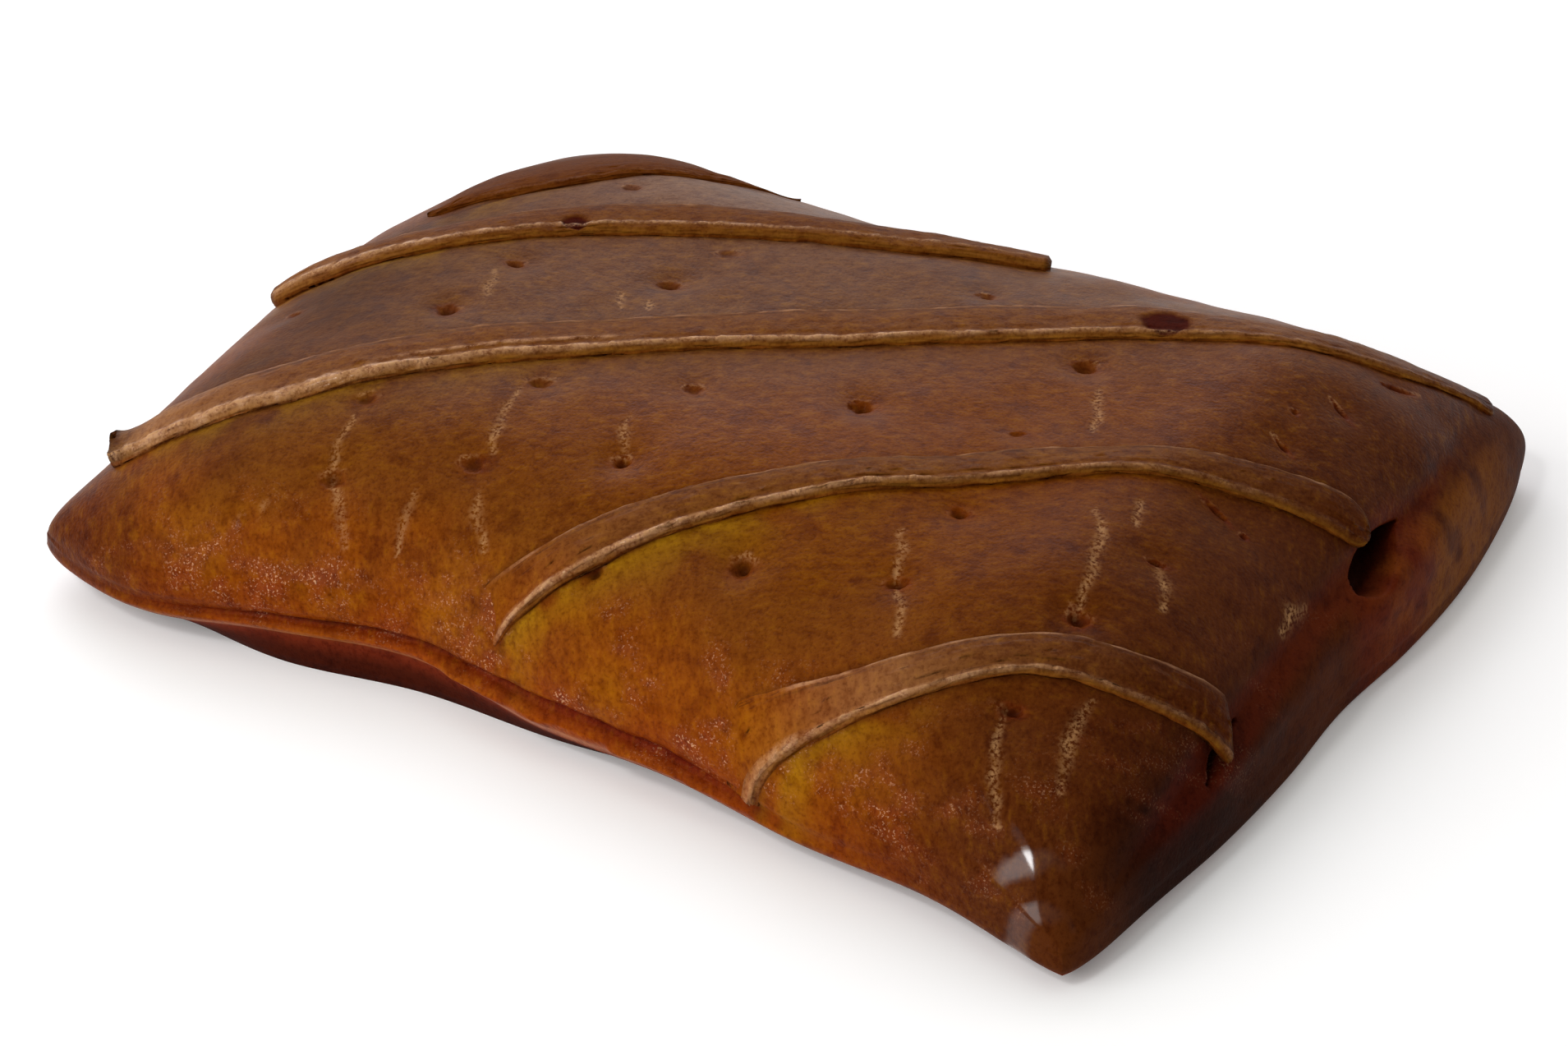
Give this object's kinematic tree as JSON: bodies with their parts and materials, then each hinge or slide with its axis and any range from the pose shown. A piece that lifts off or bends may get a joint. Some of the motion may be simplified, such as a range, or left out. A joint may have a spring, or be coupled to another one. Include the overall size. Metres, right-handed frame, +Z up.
{
  "type": "hornazo",
  "caption": "Uncut rectangular savoury pie: a pillow of egg-glazed dough with pinched corners, a pressed seam, prick holes and diagonal dough strips; lies flat to be sliced and served",
  "frame": {"origin": "centre of the bounding box in plan, at the level of the flat base that the pie lies on", "axes": "+X along the long side towards the end with the turned-up fold, +Y towards the back long side, +Z up"},
  "size_m": [0.3258, 0.2466, 0.0594],
  "materials": {
    "glazed_crust": "egg-glazed baked dough, satin gloss, amber to dark brown",
    "glazed_strip": "egg-glazed baked dough, satin gloss, brown with paler edges"
  },
  "bodies": {
    "root": {"crust": "glazed_crust", "dough_strip_1": "glazed_strip", "dough_strip_2": "glazed_strip", "dough_strip_3": "glazed_strip", "dough_strip_4": "glazed_strip", "dough_strip_5": "glazed_strip"}
  },
  "joints": []
}
